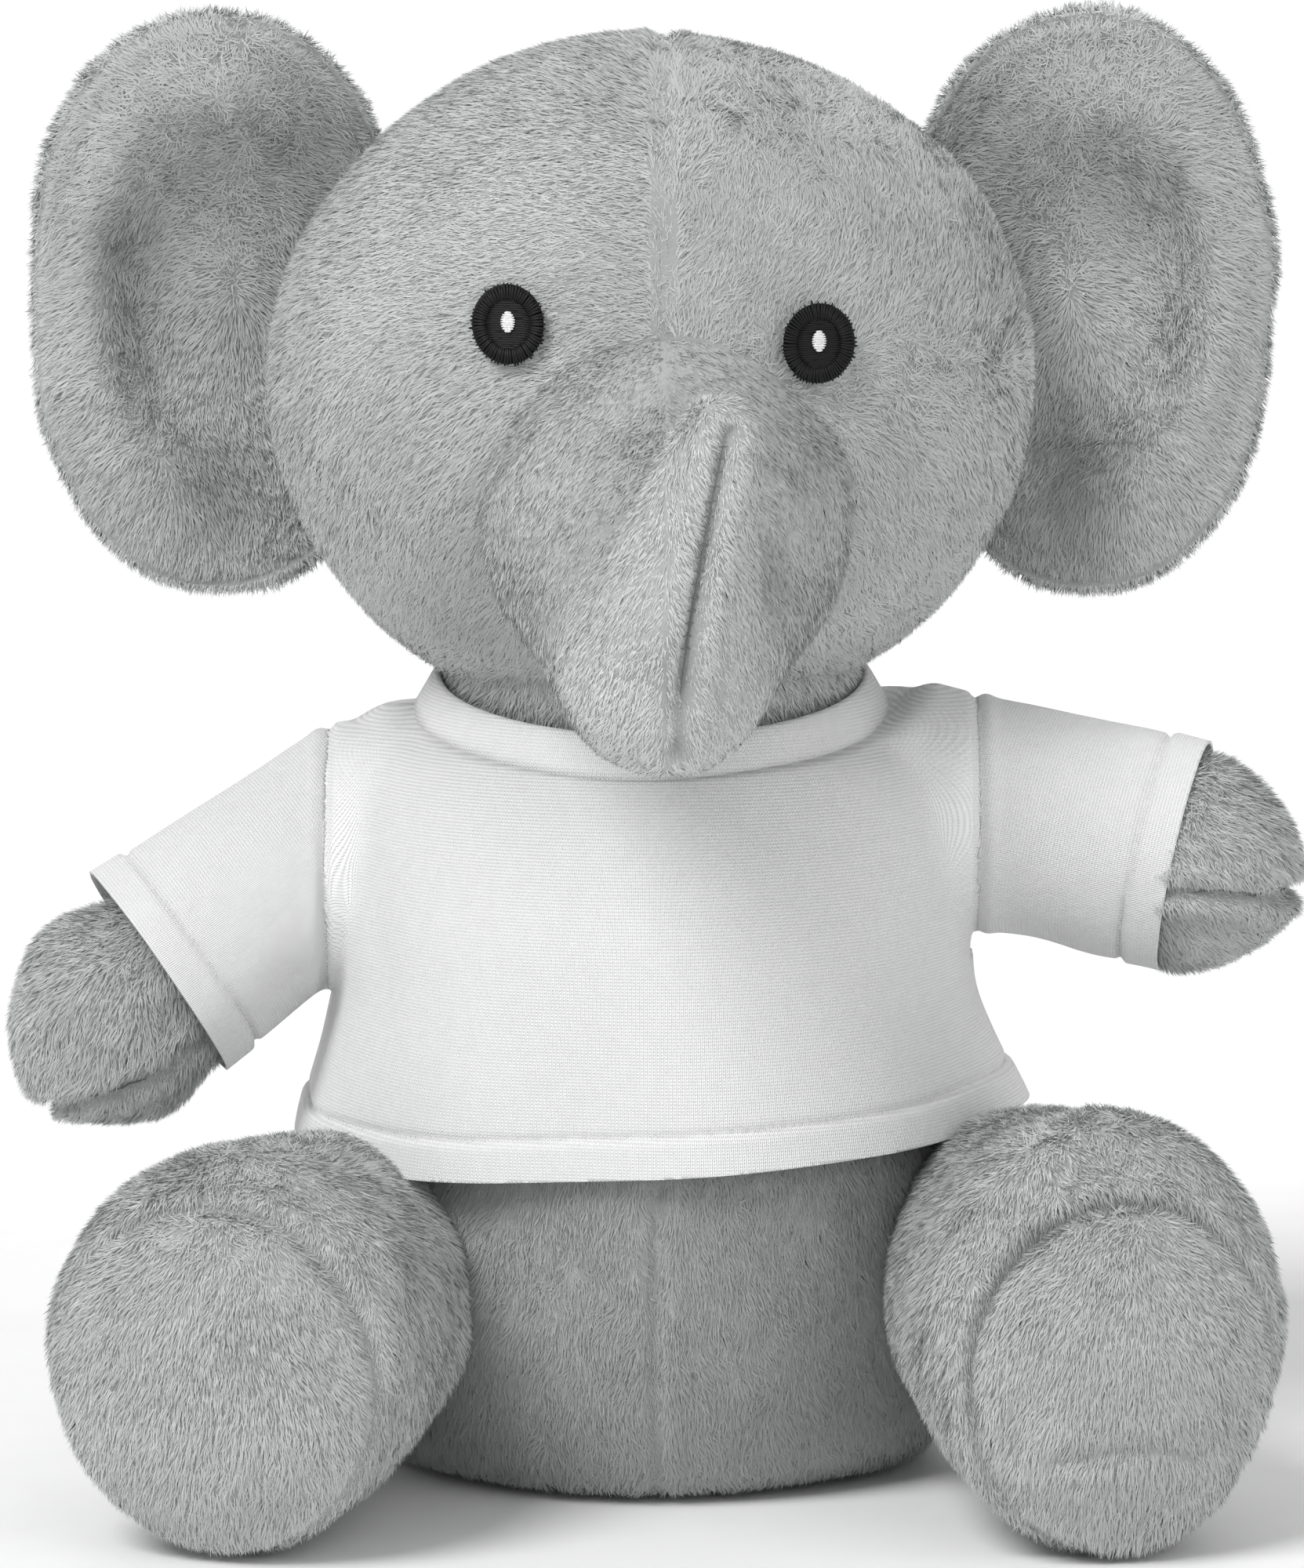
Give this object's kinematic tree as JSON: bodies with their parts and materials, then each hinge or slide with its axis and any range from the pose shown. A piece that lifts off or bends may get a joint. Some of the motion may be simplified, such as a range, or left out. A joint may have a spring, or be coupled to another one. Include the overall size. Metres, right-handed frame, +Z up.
{
  "type": "plush elephant",
  "caption": "Seated stuffed elephant in short grey plush with big padded ears, an upturned trunk, embroidered eyes and a plain white jersey T-shirt.",
  "frame": {"origin": "middle of the flat seat, on the surface the toy sits on", "axes": "+Z up through the crown of the head, -Y the way the face looks, +X to the right as seen from the front"},
  "size_m": [0.204, 0.1782, 0.231],
  "materials": {
    "plush_grey": "short cut-pile plush, matt with a soft sheen, mid grey",
    "plush_pale": "short cut-pile plush brushed smooth, pale grey",
    "eye_thread": "black satin-stitch embroidery thread",
    "highlight_thread": "white satin-stitch embroidery thread",
    "jersey": "fine white single jersey, matt",
    "rib_knit": "fine white jersey, doubled into a neckband",
    "stuffing": "loose white polyester fibre",
    "bag_cloth": "plain woven bag cloth filled with plastic pellets"
  },
  "bodies": {
    "torso": {"body_panel_left": "plush_grey", "body_panel_right": "plush_grey", "seat_panel": "plush_grey", "body_stuffing": "stuffing", "pellet_bag": "bag_cloth", "shirt_front": "jersey", "shirt_back": "jersey", "shirt_neckband": "rib_knit"},
    "neck": {"neck_stuffing": "stuffing"},
    "head": {"head_panel_left": "plush_grey", "head_panel_right": "plush_grey", "head_back_panel": "plush_grey", "head_stuffing": "stuffing", "muzzle_panel": "plush_pale", "muzzle_stuffing": "stuffing", "eye_left": "eye_thread", "eye_right": "eye_thread", "eye_highlight_left": "highlight_thread", "eye_highlight_right": "highlight_thread"},
    "trunk": {"trunk_panel_left": "plush_pale", "trunk_panel_right": "plush_pale", "trunk_stuffing": "stuffing"},
    "ear_left": {"ear_front_left": "plush_pale", "ear_padding_left": "stuffing", "ear_back_left": "plush_grey"},
    "ear_right": {"ear_front_right": "plush_pale", "ear_padding_right": "stuffing", "ear_back_right": "plush_grey"},
    "arm_left": {"sleeve_left": "jersey", "arm_upper_panel_left": "plush_grey", "arm_lower_panel_left": "plush_grey", "arm_stuffing_left": "stuffing"},
    "arm_right": {"sleeve_right": "jersey", "arm_upper_panel_right": "plush_grey", "arm_lower_panel_right": "plush_grey", "arm_stuffing_right": "stuffing"},
    "leg_left": {"leg_cover_left": "plush_grey", "sole_left": "plush_pale", "leg_stuffing_left": "stuffing"},
    "leg_right": {"leg_cover_right": "plush_grey", "sole_right": "plush_pale", "leg_stuffing_right": "stuffing"},
    "tail": {"tail": "plush_grey"}
  },
  "joints": [
    {"name": "head_turn", "type": "hinge", "parent": "torso", "child": "neck", "pos_m": [0, 0.002, 0.122], "axis": [0, 0, 1], "range_deg": [-18, 18], "stiffness_Nm_per_rad": 0.5},
    {"name": "head_nod", "type": "hinge", "parent": "neck", "child": "head", "pos_m": [0, 0.002, 0.122], "axis": [1, 0, 0], "range_deg": [-6, 8], "stiffness_Nm_per_rad": 0.8},
    {"name": "trunk_curl", "type": "hinge", "parent": "head", "child": "trunk", "pos_m": [0.002, -0.085, 0.137], "axis": [1, 0, 0], "range_deg": [-10, 35], "stiffness_Nm_per_rad": 0.06},
    {"name": "ear_left_fold", "type": "hinge", "parent": "head", "child": "ear_left", "pos_m": [-0.0485, 0.0064, 0.1785], "axis": [0.2068, -0.0217, 0.9781], "range_deg": [-15, 15], "stiffness_Nm_per_rad": 0.06},
    {"name": "ear_right_fold", "type": "hinge", "parent": "head", "child": "ear_right", "pos_m": [0.0485, 0.0064, 0.1785], "axis": [0.2068, 0.0217, -0.9781], "range_deg": [-15, 15], "stiffness_Nm_per_rad": 0.06},
    {"name": "arm_left_swing", "type": "hinge", "parent": "torso", "child": "arm_left", "pos_m": [-0.05, -0.003, 0.095], "axis": [0, 1, 0], "range_deg": [-8, 30], "stiffness_Nm_per_rad": 0.25},
    {"name": "arm_right_swing", "type": "hinge", "parent": "torso", "child": "arm_right", "pos_m": [0.05, -0.003, 0.103], "axis": [0, -1, 0], "range_deg": [-22, 12], "stiffness_Nm_per_rad": 0.25},
    {"name": "leg_left_lift", "type": "hinge", "parent": "torso", "child": "leg_left", "pos_m": [-0.04915, -0.02999, 0.032], "axis": [-0.9511, 0.309, 0], "range_deg": [0, 15], "stiffness_Nm_per_rad": 0.4},
    {"name": "leg_right_lift", "type": "hinge", "parent": "torso", "child": "leg_right", "pos_m": [0.05828, -0.02856, 0.032], "axis": [-0.9744, -0.225, 0], "range_deg": [0, 15], "stiffness_Nm_per_rad": 0.4},
    {"name": "tail_wag", "type": "hinge", "parent": "torso", "child": "tail", "pos_m": [0, 0.0585, 0.03], "axis": [0, 0, 1], "range_deg": [-30, 30], "stiffness_Nm_per_rad": 0.01}
  ]
}
